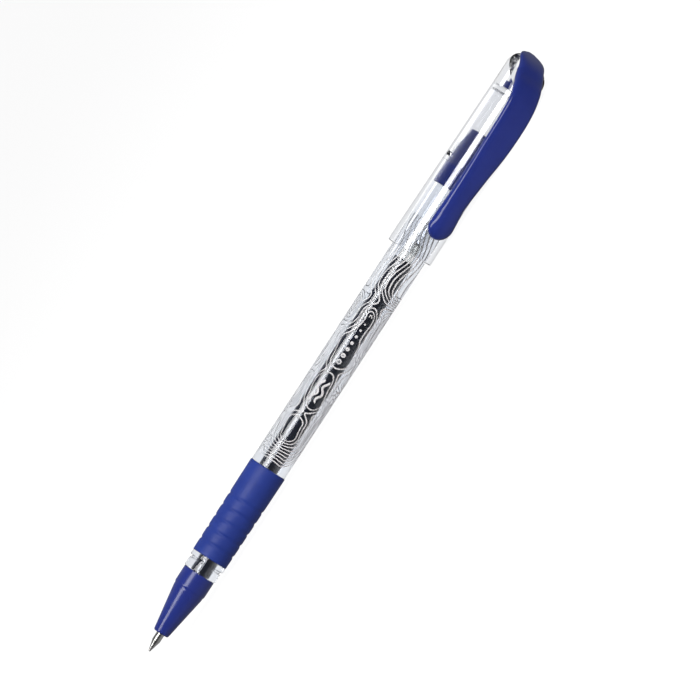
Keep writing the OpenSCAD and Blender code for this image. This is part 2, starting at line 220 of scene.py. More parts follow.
def add_turned(bm, outline, sides=SIDES):
    """Adds a closed outline turned round the pen's axis to a bmesh."""
    rings = []
    for along, r in rounded(outline):
        if r < 1e-4:
            rings.append([bm.verts.new(place(along, 0, 0))] * sides)
            continue
        rings.append([bm.verts.new(round_axis(along, r, math.tau * k / sides)) for k in range(sides)])
    for first, second in zip(rings, rings[1:] + rings[:1]):
        join_rings(bm, first, second)


def turned(name, outline, material):
    """Piece turned round the pen's axis."""
    bm = bmesh.new()
    add_turned(bm, outline)
    return new_object(name, bm, material)


def add_skin(bm, rings):
    """Adds a closed surface through a list of rings of points to a bmesh."""
    made = [[bm.verts.new(point) for point in ring] for ring in rings]
    for first, second in zip(made, made[1:]):
        join_rings(bm, first, second)
    bm.faces.new(made[0])
    bm.faces.new(reversed(made[-1]))


def cylinder(r, sides, ends, point):
    """Solid cylinder. The function gives its points from two offsets and an end."""
    angles = [math.tau * k / sides for k in range(sides)]
    bm = bmesh.new()
    add_skin(bm, [[point(r * math.cos(a), r * math.sin(a), end) for a in angles] for end in ends])
    return bm


def finish_piece(obj, body, slot, *nodes):
    """Puts a piece on the body it rides on and hides the CAD nodes that it stands for. Its material slot is
    not used.
    """
    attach(obj, body)
    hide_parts(*nodes)
    return obj


# ------------------------------------------------------------------- materials

# Deepest and lightest shade of the moulded blue and of the grip's rubber
BLUE_DEEP = (0.014, 0.025, 0.178)
BLUE_LIGHT = (0.017, 0.030, 0.202)
RUBBER_DEEP = (0.012, 0.031, 0.21)
RUBBER_LIGHT = (0.015, 0.037, 0.235)


def new_material(name):
    """Material, its node tree and its shader."""
    material = bpy.data.materials.new(name)
    material.use_nodes = True
    tree = material.node_tree
    return material, tree, tree.nodes["Principled BSDF"]


def noise(tree, size, detail=2.0, stretch=(1, 1, 1)):
    """Noise with features of about one size, in mm, in the pen's own frame."""
    where = tree.nodes.new("ShaderNodeTexCoord")
    scale = tree.nodes.new("ShaderNodeMapping")
    scale.inputs["Scale"].default_value = stretch
    texture = tree.nodes.new("ShaderNodeTexNoise")
    texture.inputs["Scale"].default_value = 1 / (size * MM)
    texture.inputs["Detail"].default_value = detail
    tree.links.new(where.outputs["Object"], scale.inputs["Vector"])
    tree.links.new(scale.outputs["Vector"], texture.inputs["Vector"])
    return texture.outputs["Fac"]


def between(tree, value, low, high):
    """A noise value as a number from low to high."""
    ranged = tree.nodes.new("ShaderNodeMapRange")
    ranged.inputs["From Min"].default_value = 0.3
    ranged.inputs["From Max"].default_value = 0.7
    ranged.inputs["To Min"].default_value = low
    ranged.inputs["To Max"].default_value = high
    tree.links.new(value, ranged.inputs["Value"])
    return ranged.outputs["Result"]


def two_tone(tree, value, first, second):
    """A colour that a noise value moves from the first to the second."""
    mix = tree.nodes.new("ShaderNodeMix")
    mix.data_type = "RGBA"
    mix.inputs["A"].default_value = (*first, 1)
    mix.inputs["B"].default_value = (*second, 1)
    tree.links.new(between(tree, value, 0, 1), mix.inputs["Factor"])
    return mix.outputs["Result"]


def relief(tree, shader, height, depth):
    """Bump of a depth in mm."""
    bump = tree.nodes.new("ShaderNodeBump")
    bump.inputs["Distance"].default_value = depth * MM
    tree.links.new(height, bump.inputs["Height"])
    tree.links.new(bump.outputs["Normal"], shader.inputs["Normal"])


def let_light_in(tree, shader, tint):
    """Lets the lamps' light through a clear piece, so that what is inside it is lit."""
    path = tree.nodes.new("ShaderNodeLightPath")
    through = tree.nodes.new("ShaderNodeBsdfTransparent")
    through.inputs["Color"].default_value = (*tint, 1)
    mix = tree.nodes.new("ShaderNodeMixShader")
    tree.links.new(path.outputs["Is Shadow Ray"], mix.inputs["Fac"])
    tree.links.new(shader.outputs["BSDF"], mix.inputs[1])
    tree.links.new(through.outputs["BSDF"], mix.inputs[2])
    tree.links.new(mix.outputs["Shader"], tree.nodes["Material Output"].inputs["Surface"])


def clear_plastic(name, tint, roughness, ior):
    """Polished clear plastic with faint flow marks from the mould."""
    material, tree, shader = new_material(name)
    shader.inputs["Base Color"].default_value = (*tint, 1)
    shader.inputs["Transmission Weight"].default_value = 1
    shader.inputs["IOR"].default_value = ior
    flow = noise(tree, 5, 2, (0.15, 1, 1))
    tree.links.new(between(tree, flow, roughness * 0.6, roughness * 1.4), shader.inputs["Roughness"])
    relief(tree, shader, flow, 0.004)
    let_light_in(tree, shader, tint)
    return material


def blue_plastic(name, roughness):
    """Solid blue moulded plastic: mottled pigment, fine grain and a few handling marks."""
    material, tree, shader = new_material(name)
    pigment = noise(tree, 6, 3)
    tree.links.new(two_tone(tree, pigment, BLUE_DEEP, BLUE_LIGHT), shader.inputs["Base Color"])
    marks = noise(tree, 0.9, 4, (0.2, 1, 1))
    tree.links.new(between(tree, marks, roughness * 0.85, roughness * 1.2), shader.inputs["Roughness"])
    relief(tree, shader, noise(tree, 0.12, 2), 0.0012)
    return material


def blue_rubber():
    """Satin rubber of the grip, with a fine matt grain."""
    material, tree, shader = new_material("blue_rubber")
    pigment = noise(tree, 4, 4)
    tree.links.new(two_tone(tree, pigment, RUBBER_DEEP, RUBBER_LIGHT), shader.inputs["Base Color"])
    tree.links.new(between(tree, noise(tree, 1.2, 3), 0.44, 0.52), shader.inputs["Roughness"])
    shader.inputs["Specular IOR Level"].default_value = 0.28
    relief(tree, shader, noise(tree, 0.16, 3), 0.006)
    return material


def frosted_plastic():
    """Slightly milky inner cap: clear plastic with a share of white haze."""
    material, tree, shader = new_material("frosted_plastic")
    shader.inputs["Base Color"].default_value = (0.95, 0.955, 0.97, 1)
    shader.inputs["Transmission Weight"].default_value = 0.993
    shader.inputs["IOR"].default_value = 1.5
    tree.links.new(between(tree, noise(tree, 1.5, 3), 0.02, 0.05), shader.inputs["Roughness"])
    relief(tree, shader, noise(tree, 3, 2), 0.004)
    let_light_in(tree, shader, (0.92, 0.92, 0.94))
    return material


def milky_plastic():
    """Natural unpigmented plastic of the refill's holder."""
    material, tree, shader = new_material("holder_plastic")
    tone = two_tone(tree, noise(tree, 2, 3), (0.74, 0.73, 0.68), (0.84, 0.83, 0.79))
    tree.links.new(tone, shader.inputs["Base Color"])
    shader.inputs["Roughness"].default_value = 0.35
    relief(tree, shader, noise(tree, 0.3, 2), 0.004)
    return material


def gel_ink():
    """Black gel ink against the wall of its tube."""
    material, tree, shader = new_material("gel_ink")
    tone = two_tone(tree, noise(tree, 3, 3), (0.008, 0.013, 0.035), (0.011, 0.017, 0.043))
    tree.links.new(tone, shader.inputs["Base Color"])
    tree.links.new(between(tree, noise(tree, 1.5, 3), 0.12, 0.22), shader.inputs["Roughness"])
    shader.inputs["IOR"].default_value = 1.12
    return material


def grease():
    """Pale grease that follows the ink."""
    material, tree, shader = new_material("grease")
    shader.inputs["Base Color"].default_value = (0.93, 0.92, 0.85, 1)
    shader.inputs["Transmission Weight"].default_value = 0.8
    shader.inputs["IOR"].default_value = 1.45
    tree.links.new(between(tree, noise(tree, 0.8, 3), 0.15, 0.35), shader.inputs["Roughness"])
    let_light_in(tree, shader, (0.9, 0.89, 0.82))
    return material


def turned_steel(name, tone, roughness):
    """Bright turned metal with fine rings round the pen's axis."""
    material, tree, shader = new_material(name)
    rings = noise(tree, 0.05, 1, (1, 0.02, 0.02))
    tree.links.new(two_tone(tree, rings, [0.85 * c for c in tone], tone), shader.inputs["Base Color"])
    shader.inputs["Metallic"].default_value = 1
    tree.links.new(between(tree, rings, roughness * 0.8, roughness * 1.3), shader.inputs["Roughness"])
    relief(tree, shader, rings, 0.0015)
    return material


def white_print():
    """Screen-printed white ink, thin enough to let some light through, and slightly uneven."""
    material, tree, shader = new_material("white_print")
    tone = two_tone(tree, noise(tree, 0.4, 3), (0.66, 0.67, 0.69), (0.76, 0.76, 0.77))
    tree.links.new(tone, shader.inputs["Base Color"])
    shader.inputs["Transmission Weight"].default_value = 0.15
    shader.inputs["IOR"].default_value = 1.2
    shader.inputs["Roughness"].default_value = 0.45
    relief(tree, shader, noise(tree, 0.1, 2), 0.002)
    return material


BARREL_PLASTIC = clear_plastic("barrel_plastic", (0.9, 0.92, 0.955), 0.012, 1.56)
CAP_PLASTIC = clear_plastic("cap_plastic", (0.955, 0.96, 0.97), 0.012, 1.52)
TUBE_PLASTIC = clear_plastic("tube_plastic", (0.94, 0.945, 0.955), 0.02, 1.49)
FROSTED = frosted_plastic()
NOSE_PLASTIC = blue_plastic("nose_plastic", 0.2)
GLOSSY_BLUE = blue_plastic("glossy_blue", 0.14)
RUBBER = blue_rubber()
HOLDER_PLASTIC = milky_plastic()
INK = gel_ink()
GREASE = grease()
STEEL = turned_steel("tip_steel", (0.66, 0.65, 0.63), 0.2)
CARBIDE = turned_steel("ball_metal", (0.55, 0.55, 0.56), 0.15)
PRINT = white_print()


# ---------------------------------------------------------------------- pieces

# Gap between pieces that touch, which keeps their faces apart, and gap between pieces that run
TOUCH_GAP = 0.02
RUN_GAP = 0.06

# Barrel: radii of the spigots, seat, rings and bores, widths of the two rings, and the cone between
# the bores, with its start behind the grip's
SPIGOT_R = 3.3
SEAT_R = 3.85
COLLAR_R = 4.16
COLLAR_W = 2.3
FLANGE_R = 4.42
FLANGE_W = 1.3
REAR_SPIGOT_R = 3.95
BORE_R = 3.4
FRONT_BORE_R = 2.6
BORE_CONE = 1.5
BORE_CONE_IN = 0.8


def make_barrel():
    """Clear tube with its spigots, the collar ring and the flange in front of the grip."""
    collar = NOSE_END + RUN_GAP
    flange = GRIP_START - FLANGE_W
    return turned("barrel_tube", [
        (BARREL_START, FRONT_BORE_R, 0.15), (BARREL_START, SPIGOT_R, 0.2),
        (collar, SPIGOT_R, 0.1), (collar, COLLAR_R, 0.3),
        (collar + COLLAR_W, COLLAR_R, 0.35), (collar + COLLAR_W, SEAT_R, 0.12),
        (flange, SEAT_R, 0.12), (flange, FLANGE_R, 0.3),
        (GRIP_START, FLANGE_R, 0.06), (GRIP_START, SEAT_R, 0.05),
        (GRIP_END, SEAT_R, 0.05), (GRIP_END, BARREL_R, 0.12),
        (PLUG_START, BARREL_R, 0.12), (PLUG_START, REAR_SPIGOT_R, 0.05),
        (BARREL_END, REAR_SPIGOT_R, 0.15), (BARREL_END, BORE_R, 0.1),
        (GRIP_START + BORE_CONE_IN + BORE_CONE, BORE_R, 1.0),
        (GRIP_START + BORE_CONE_IN, FRONT_BORE_R, 1.0),
    ], BARREL_PLASTIC)


# Grip: number of its shallow grooves, their place, pitch, half width, depth, how steep their sides
# are and how many half widths they reach, then the front radius, the number of points of the outline,
# and how far it lies inside the CAD grip
GROOVES = 5
FIRST_GROOVE = 3.25
GROOVE_PITCH = 3.07
GROOVE_HALF_W = 0.42
GROOVE_DEPTH = 0.2
GROOVE_SIDES = 1.4
GROOVE_REACH = 2.2
GRIP_FRONT_R = 4.49
GRIP_STEPS = 260
GRIP_INSET = 0.005


def make_grip():
    """Rubber sleeve that swells slightly between its grooves."""
    length = GRIP_END - GRIP_START
    outline = [(GRIP_START, SEAT_R + TOUCH_GAP, 0), (GRIP_START, GRIP_FRONT_R, 0.35)]
    for k in range(1, GRIP_STEPS):
        along = GRIP_START + length * (0.01 + 0.98 * k / GRIP_STEPS)
        r = GRIP_FRONT_R + (GRIP_R - GRIP_FRONT_R) * (along - GRIP_START) / length
        groove = (along - GRIP_START - FIRST_GROOVE) / GROOVE_PITCH
        nearest = min(max(round(groove), 0), GROOVES - 1)
        off = (groove - nearest) * GROOVE_PITCH / GROOVE_HALF_W
        if abs(off) < GROOVE_REACH:
            r -= GROOVE_DEPTH * math.exp(-off * off * GROOVE_SIDES)
        outline.append((along, r - GRIP_INSET, 0))
    outline += [(GRIP_END, GRIP_R - GRIP_INSET, 0.3), (GRIP_END, SEAT_R + TOUCH_GAP, 0)]
    return turned("grip_rubber", outline, RUBBER)


# Nose cone: front radius, narrow rim and step behind the cone, then the hole for the refill's neck,
# with its start and end behind the cone's front, and the room round the refill's tube
NOSE_FRONT_R = 1.92
NOSE_RIM_R = 3.8
NOSE_CONE_L = 11.5
NOSE_RIM_L = 0.5
NECK_HOLE_R = 1.55
NECK_HOLE_START = 2.5
NECK_HOLE_END = 7
TUBE_ROOM = 0.1


def make_nose():
    """Blue cone with its narrow rim, the straight seat for the cap and the hollow inside."""
    rim = NOSE_START + NOSE_CONE_L
    neck_start = NOSE_START + NECK_HOLE_START
    neck_end = NOSE_START + NECK_HOLE_END
    return turned("nose_shell", [
        (NOSE_START, STEEL_R + RUN_GAP, 0.08), (NOSE_START, NOSE_FRONT_R, 0.45),
        (rim, NOSE_RIM_R, 0.12), (rim + NOSE_RIM_L, NOSE_RIM_R, 0.1),
        (rim + 2 * NOSE_RIM_L, NOSE_R, 0.15), (NOSE_END, NOSE_R, 0.18),
        (NOSE_END, SPIGOT_R + RUN_GAP, 0.1), (BARREL_START - RUN_GAP, SPIGOT_R + RUN_GAP, 0),
        (BARREL_START - RUN_GAP, TUBE_R + TUBE_ROOM, 0), (neck_end, TUBE_R + TUBE_ROOM, 0),
        (neck_end, NECK_HOLE_R, 0.1), (neck_start, NECK_HOLE_R, 0.1),
        (neck_start, STEEL_R + RUN_GAP, 0.05),
    ], NOSE_PLASTIC)


# Plug: length of its straight part, radius of its flat end and rounding of the end's edge, then the
# bore, the wall at the end and the air hole through it
PLUG_STRAIGHT = 3.5
PLUG_END_R = 3.5
PLUG_EDGE_R = 0.7
PLUG_BORE_R = 2.9
PLUG_WALL = 1.2
AIR_HOLE_R = 0.5


def make_plug():
    """Blue plug in the barrel's rear end, hollow, with a bullet-shaped back and an air hole."""
    start = PLUG_START + PLUG_STRAIGHT
    length = PLUG_END - PLUG_EDGE_R - start
    drop = PLUG_R - PLUG_END_R
    bulge = (length**2 + drop**2) / (2 * drop)
    outline = [
        (PLUG_END - PLUG_WALL, PLUG_BORE_R, 0.2), (BARREL_END + TOUCH_GAP, PLUG_BORE_R, 0),
        (BARREL_END + TOUCH_GAP, REAR_SPIGOT_R + TOUCH_GAP, 0),
        (PLUG_START, REAR_SPIGOT_R + TOUCH_GAP, 0), (PLUG_START, PLUG_R, 0.15),
    ]
    outline += arc(start, PLUG_R - bulge, bulge, 0, math.degrees(math.asin(length / bulge)), 16)
    outline += [
        (PLUG_END, PLUG_END_R - 0.05, 0.65), (PLUG_END, AIR_HOLE_R, 0.1),
        (PLUG_END - PLUG_WALL, AIR_HOLE_R, 0.1),
    ]
    return turned("plug_shell", outline, GLOSSY_BLUE)


# Refill: bore of the tube, the ink's stem and its channel in the holder, where the steel's shank
# stops in the holder, the holder's neck and flange, the grease's hollow, the steel's ink channel, and
# how far the ink reaches into the tube's wall, which it wets
TUBE_BORE_R = 1.95
STEM_R = 0.73
STEM_HOLE_R = 0.75
SHANK_STOP = 11
NECK_R = 1.45
HOLDER_FLANGE_W = 1.2
HOLLOW_DEPTH = 0.8
HOLLOW_STEPS = 8
STEEL_BORE_R = 0.55
WETTING = 0.03


def make_tube():
    """Clear tube that holds the ink."""
    return turned("tube_shell", [
        (TUBE_START, TUBE_BORE_R, 0.05), (TUBE_START, TUBE_R, 0.1),
        (TUBE_END, TUBE_R, 0.12), (TUBE_END, TUBE_BORE_R, 0.12),
    ], TUBE_PLASTIC)


def make_ink():
    """Gel ink, which wets the tube's wall, with its narrow stem in the holder."""
    wall = TUBE_BORE_R + WETTING
    return turned("ink_gel", [
        (INK_START, 0, 0), (INK_START, STEM_R, 0), (HOLDER_END, STEM_R, 0),
        (HOLDER_END + TOUCH_GAP, wall, 0), (INK_END, wall, 0), (INK_END, 0, 0),
    ], INK)


def make_grease():
    """Grease plug with a hollow end."""
    r = TUBE_BORE_R - TOUCH_GAP
    hollow = GREASE_END - HOLLOW_DEPTH
    outline = [(GREASE_START, 0, 0), (GREASE_START, r, 0.05), (GREASE_END, r, 0.1)]
    for k in range(HOLLOW_STEPS - 1, -1, -1):
        outline.append((hollow + HOLLOW_DEPTH * (k / HOLLOW_STEPS) ** 2, r * k / HOLLOW_STEPS, 0))
    return turned("grease_plug", outline, GREASE)


def make_holder():
    """Plastic holder of the steel tip: neck, flange against the tube, and plug in its bore."""
    flange_start = TUBE_START - HOLDER_FLANGE_W
    flange_end = TUBE_START - TOUCH_GAP
    return turned("holder_shell", [
        (HOLDER_START, STEEL_R + TOUCH_GAP, 0), (HOLDER_START, NECK_R, 0.15),
        (flange_start, NECK_R, 0.1), (flange_start, HOLDER_R, 0.1),
        (flange_end, HOLDER_R, 0.1), (flange_end, TUBE_BORE_R - TOUCH_GAP, 0),
        (HOLDER_END, TUBE_BORE_R - TOUCH_GAP, 0.2), (HOLDER_END, STEM_HOLE_R, 0.1),
        (SHANK_STOP, STEM_HOLE_R, 0), (SHANK_STOP, STEEL_R + TOUCH_GAP, 0),
    ], HOLDER_PLASTIC)


def make_steel_tip():
    """Turned tip: crimped rim round the ball, cone, step and shank."""
    return turned("steel_tip", [
        (STEEL_START + 0.12, 0, 0), (STEEL_START + 0.12, 0.2, 0), (STEEL_START, 0.262, 0.01),
        (STEEL_START, 0.28, 0.02), (0.55, 0.34, 0.05), (2.8, 0.94, 0.03), (2.86, STEEL_R, 0.04),
        (STEEL_END, STEEL_R, 0.06), (STEEL_END, STEEL_BORE_R, 0), (1.6, STEEL_BORE_R, 0),
        (0.7, 0.15, 0), (0.7, 0, 0),
    ], STEEL)


def make_ball():
    """Writing ball."""
    return turned("writing_ball", arc(BALL_R, 0, BALL_R, -90, 90, 24), CARBIDE)


# Cap: radii of its end and bore, the round shoulder with its start in front of the crown's end, the
# pocket for the clip's shank, the gap behind the inner cap, the crown's rim, thickness and tilt, the
# flat under the clip, and the air hole
CAP_END_R = 5.3
CAP_BORE_R = 4.95
SHOULDER_R = 4.87
SHOULDER_START = 4.9
POCKET_R = 3.1
BLOCK_GAP = 0.1
CROWN_RIM_R = 3.25
CROWN_T = 1.2
CROWN_TILT = math.radians(22)
FLAT_BACK = 4.7
FLAT_OUT = 0.55
VENT_R = 0.6
VENT_FROM_LIP = 24.4
VENT_ENDS = (-2.5, -7)
VENT_SIDES = 32


def make_cap():
    """Clear cap with its solid end, the flat that carries the clip's root, and the air hole."""
    block = SEAL_END + BLOCK_GAP
    step = SEAL_START - TOUCH_GAP
    seat = SEAL_R + TOUCH_GAP
    shoulder = CROWN_END - SHOULDER_START
    turn = math.degrees(math.asin((CAP_END - shoulder) / SHOULDER_R))
    outline = [
        (block, seat, 0.1), (step, seat, 0.03), (step, CAP_BORE_R, 0.05),
        (CAP_START, CAP_BORE_R, 0.25), (CAP_START, CAP_LIP_R, 0.35), (block, CAP_END_R, 2),
    ]
    outline += arc(shoulder, CAP_END_R - SHOULDER_R, SHOULDER_R, 0, turn, 24)
    outline += [(CAP_END, POCKET_R, 0.05), (block, POCKET_R, 0.05)]
    bm = bmesh.new()
    add_turned(bm, outline)
    cap = raw_object("cap_clear", bm)
    combine(cap, past_flat(), "DIFFERENCE")
    combine(cap, above_slope(CROWN_T), "DIFFERENCE")
    combine(cap, vent_hole(), "DIFFERENCE")
    return shade(cap, CAP_PLASTIC)


def slab(out, along, out_run, along_run):
    """Thick slab on one side of a plane through a line across the clip, running the given way."""
    size = 3 * CAP_END_R
    bm = bmesh.new()
    for depth in (0, size):
        for run in (-size, size):
            for side in (-size, size):
                bm.verts.new(on_clip_side(
                    out + out_run * run + along_run * depth, side, along + along_run * run - out_run * depth
                ))
    bmesh.ops.convex_hull(bm, input=bm.verts)
    return bm


def past_flat():
    """Everything beyond the flat of the cap's end, on the clip's side."""
    return slab(FLAT_OUT, CROWN_END - FLAT_BACK, -math.sqrt(0.5), math.sqrt(0.5))


def above_slope(depth):
    """Everything above the crown's top, moved down by a depth."""
    along = CROWN_END - CROWN_RIM_R * math.tan(CROWN_TILT) - depth
    return slab(0, along, -math.cos(CROWN_TILT), math.sin(CROWN_TILT))


def vent_hole():
    """Cylinder through the cap's wall, a quarter turn up from the clip."""

    def point(out, along, side):
        return on_clip_side(out, side, CAP_START + VENT_FROM_LIP + along)

    return cylinder(VENT_R, VENT_SIDES, VENT_ENDS, point)


# Inner cap: the narrower bore behind its cone, the cone's length, and the floor's thickness
SEAL_BORE_R = 4.08
SEAL_CONE_L = 5.4
SEAL_FLOOR = 1


def make_inner_cap():
    """Frosted inner cap that closes over the nose cone."""
    floor = SEAL_END - SEAL_FLOOR
    outline = [
        (SEAL_END, 0, 0), (SEAL_END, SEAL_R, 0.25), (SEAL_START, SEAL_R, 0.08),
        (SEAL_START, PLUG_R + RUN_GAP, 0.05), (SEAL_START + SEAL_CONE_L, SEAL_BORE_R, 1),
        (floor, SEAL_BORE_R, 0.8), (floor, 0, 0),
    ]
    return turned("inner_seal", outline, FROSTED)


# Clip: a band swept along its outer line. Each row is the line's distance out from the axis and back
# from the crown's end, then half the width, the thickness and the squareness of the section.
CLIP_LINE = [
    (-3.30, 0.02, 1.20, 1.05, 3.6),
    (-2.20, 0.40, 2.72, 1.05, 3.6),
    (-0.80, 0.95, 3.40, 1.10, 3.4),
    (0.80, 1.66, 3.48, 1.50, 3.2),
    (2.20, 2.50, 3.42, 2.10, 3.0),
    (3.30, 3.40, 3.48, 2.40, 2.9),
    (4.05, 4.25, 3.60, 2.45, 2.9),
    (4.85, 5.20, 3.70, 2.40, 3.0),
    (6.80, 7.30, 3.68, 2.30, 3.4),
    (8.90, 11.30, 3.60, 1.60, 3.6),
    (9.95, 16.50, 3.58, 1.74, 3.6),
    (9.98, 24.00, 3.40, 1.95, 3.4),
    (9.40, 31.50, 2.95, 2.50, 3.0),
    (8.75, 39.30, 2.70, 3.00, 2.6),
    (8.90, 42.20, 2.92, 3.15, 2.3),
    (9.26, 45.20, 3.08, 3.30, 2.1),
    (9.02, 47.60, 3.08, 3.30, 2.1),
    (8.75, 49.20, 3.08, 3.30, 2.1),
]
# Sides of the band, its steps from row to row, and the rounded ends: the rim with the sizes of its
# rings, and the pad
CLIP_SIDES = 72
CLIP_STEPS = 12
RIM_R = 0.35
RIM_SIZES = (0.93, 0.8, 0.6, 0.3)
PAD_END_L = 3.6
# Shank in the pocket: its radius, the gap in front of it, and the bead at its end with the step behind
SHANK_R = 2.35
SHANK_GAP = 0.25
SHANK_SIDES = 96
BEAD_R = 3.0
BEAD_L = 1.6
BEAD_STEP_L = 1.75
# Blind holes in the crown's top: places out from the axis and across, radius and depth
CROWN_HOLES = ((-2.3, 0.7), (-1.9, 1.7))
CROWN_HOLE_R = 0.26
CROWN_HOLE_DEPTH = 0.55
CROWN_HOLE_SIDES = 20
# Bend of the arm: distance out from the axis and back from the crown's end, and half its length
CLIP_REACH = 10.1
FLEX_BACK = 13.3
FLEX_SPREAD = 1.8


def smooth_line(rows, steps):
    """Points on a smooth curve through rows of numbers, whose first two are a place."""
    rows = [Vector(row) for row in rows]
    knots = [0]
    for before, after in zip(rows, rows[1:]):
        knots.append(knots[-1] + math.hypot(*(after - before)[:2]))

    def slope(n):
        low, high = max(n - 1, 0), min(n + 1, len(rows) - 1)
        return (rows[high] - rows[low]) / (knots[high] - knots[low])

    line = []
    for n in range(len(rows) - 1):
        width = knots[n + 1] - knots[n]
        for k in range(steps):
            t = k / steps
            line.append(
                rows[n] * (2 * t**3 - 3 * t**2 + 1) + slope(n) * width * (t**3 - 2 * t**2 + t)
                + rows[n + 1] * (3 * t**2 - 2 * t**3) + slope(n + 1) * width * (t**3 - t**2)
            )
    return line + [rows[-1]]


def clip_ring(row, inward, scale):
    """Rounded section of the clip. Inward is the direction from its outside to the pen, as (out, back)."""
    out, back, half_w, thick, square = row
    ring = []
    for k in range(CLIP_SIDES):
        a = math.tau * k / CLIP_SIDES
        depth, side = (math.copysign(abs(v) ** (2 / square), v) for v in (math.cos(a), math.sin(a)))
        depth = thick / 2 * (1 - scale * depth)
        ring.append(on_clip_side(
            out + inward[0] * depth, scale * half_w * side, CROWN_END - back - inward[1] * depth
        ))
    return ring


def clip_rings():
    """Rings from the crown's far rim to the rounded pad."""
    line = smooth_line(CLIP_LINE, CLIP_STEPS)
    rings = []
    for n, row in enumerate(line):
        run = (line[min(n + 1, len(line) - 1)] - line[max(n - 1, 0)])
        run = Vector(run[:2]).normalized()
        inward = Vector((-run.y, run.x))
        scale = 1.0
        left = CLIP_LINE[-1][1] - row[1]
        if left < PAD_END_L:
            scale = math.sqrt(max(0.0004, 1 - (1 - left / PAD_END_L) ** 2))
        rings.append(clip_ring(row, inward, scale))
    first = line[0]
    down = Vector((-math.sin(CROWN_TILT), math.cos(CROWN_TILT)))
    for size in RIM_SIZES:
        row = Vector(first)
        row.x -= RIM_R * math.sqrt(1 - size * size)
        row.z *= size
        rings.insert(0, clip_ring(row, down, 0.4 + 0.6 * size))
    return rings


def crown_hole(out, side):
    """Small blind hole in the crown's top."""
    top = CROWN_END - (out - CLIP_LINE[0][0]) * math.tan(CROWN_TILT)

    def point(further_out, further_across, along):
        return on_clip_side(out + further_out, side + further_across, along)

    return cylinder(CROWN_HOLE_R, CROWN_HOLE_SIDES, (top - CROWN_HOLE_DEPTH, top + 1), point)


def make_clip():
    """Clip in one piece: crown on the cap's end, shank in the pocket, root, arm and round pad."""
    bm = bmesh.new()
    add_skin(bm, clip_rings())
    clip = raw_object("clip_moulding", bm)
    bm = bmesh.new()
    shank = SEAL_END + SHANK_GAP
    add_turned(bm, [
        (shank, 0, 0), (shank, BEAD_R, 0.2), (shank + BEAD_L, BEAD_R, 0.2),
        (shank + BEAD_STEP_L, SHANK_R, 0.15), (CROWN_END - CROWN_T, SHANK_R, 0),
        (CROWN_END - CROWN_T, 0, 0),
    ], SHANK_SIDES)
    below = raw_object("shank", bm)
    combine(below, above_slope(CROWN_T / 2), "DIFFERENCE")
    bm = bmesh.new()
    bm.from_mesh(below.data)
    bpy.data.objects.remove(below)
    combine(clip, bm, "UNION")
    for out, side in CROWN_HOLES:
        combine(clip, crown_hole(out, side), "DIFFERENCE")
    shade(clip, GLOSSY_BLUE)
    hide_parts("clip_root", "clip_arm")
    start = on_clip_side(CLIP_REACH, 0, CROWN_END - FLEX_BACK + FLEX_SPREAD)
    end = on_clip_side(CLIP_REACH, 0, CROWN_END - FLEX_BACK - FLEX_SPREAD)
    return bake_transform(clip)


# ------------------------------------------------------------- print on barrel

# Wave lines: height between them, share of it that is white, limits of half a line's width, how much
# thinner the lines are above the middle, and the cell of the grid that they are traced on
PITCH = 0.7
WHITE_SHARE = 0.34
THINNEST, THICKEST = 0.085, 0.17
THINNER = 0.3
CELL = 0.25
# Film: its underside and top above the barrel
FILM_LOW = 0.004
FILM_HIGH = 0.02
# Printed stretch. In front of OPEN_FROM the print ends at the contour EDGE_LEVEL.
PRINT_START = 52.3
PRINT_END = 119.4
EDGE_LEVEL = 5.9
OPEN_FROM = 60
# Unprinted openings that the lines run round: place along and round the barrel, half length and
# half height
OPENINGS = [
    (61.7, 0.4, 3.5, 1.9),
    (72.4, -0.1, 4.3, 2.0),
    (83.2, -0.2, 4.4, 2.4),
    (91.0, -0.5, 3.2, 1.0),
    (60.5, 13.0, 3.0, 1.6),
    (70.0, 7.6, 2.2, 0.9),
    (78.5, -8.0, 2.6, 1.0),
    (84.0, 12.5, 5.0, 1.8),
    (94.0, 7.5, 2.0, 0.8),
]
# Distance over which the contours of two openings flow together, and where they turn into waves
MERGE = 1.1
WAVES_FROM, WAVES_TO = 93, 101
# Marks in two openings. Two waves: levels, start, step, points, height, rate and half width.
WAVE_LEVELS = (0.55, -0.75)
WAVE_START = 69.4
WAVE_STEP = 0.2
WAVE_POINTS = 31
WAVE_SWING = 0.42
WAVE_RATE = 1.9
WAVE_HALF_W = 0.27
# A row of dots: number, start, pitch, level, fall from dot to dot, radius and its loss from dot to dot
DOTS = 7
DOT_START = 80.6
DOT_PITCH = 1.75
DOT_LEVEL = -0.2
DOT_FALL = 0.06
DOT_R = 0.62
DOT_LOSS = 0.065
DOT_SIDES = 20


def wrapped(u):
    """Arc length brought within half a turn of the line that faces the camera."""
    turn = math.tau * BARREL_R
    return (u + turn / 2) % turn - turn / 2


def print_field(along, u):
    """Height whose contours are the printed lines: distance from the openings, then waves."""
    # Slow wobbles keep the openings from being plain ovals
    x = along + 0.45 * math.sin(u * 0.9 + along * 0.31)
    y = u + 0.35 * math.sin(along * 0.55 + 1.3)
    total = 0
    for centre, level, half_l, half_h in OPENINGS:
        dx = max(abs(x - centre) - (half_l - half_h), 0)
        dy = wrapped(y - level)
        total += math.exp(-(math.hypot(dx, dy) - half_h) / MERGE)
    nested = -MERGE * math.log(total)
    # Towards the cap the height rises and falls once round the barrel, which gives long waves
    swing = 0.8 * math.sin((along - 99.5) * 0.43) + 0.25 * math.sin(along * 0.21)
    waves = 3.3 * math.sin((u - swing) / BARREL_R) + 0.35
    t = min(max((along - WAVES_FROM) / (WAVES_TO - WAVES_FROM), 0), 1)
    t = t * t * (3 - 2 * t)
    return nested * (1 - t) + waves * t


def printed(along, value):
    """Whether the lines are drawn at a place with that height."""
    if not PRINT_START < along < PRINT_END:
        return False
    return value < EDGE_LEVEL or along > OPEN_FROM


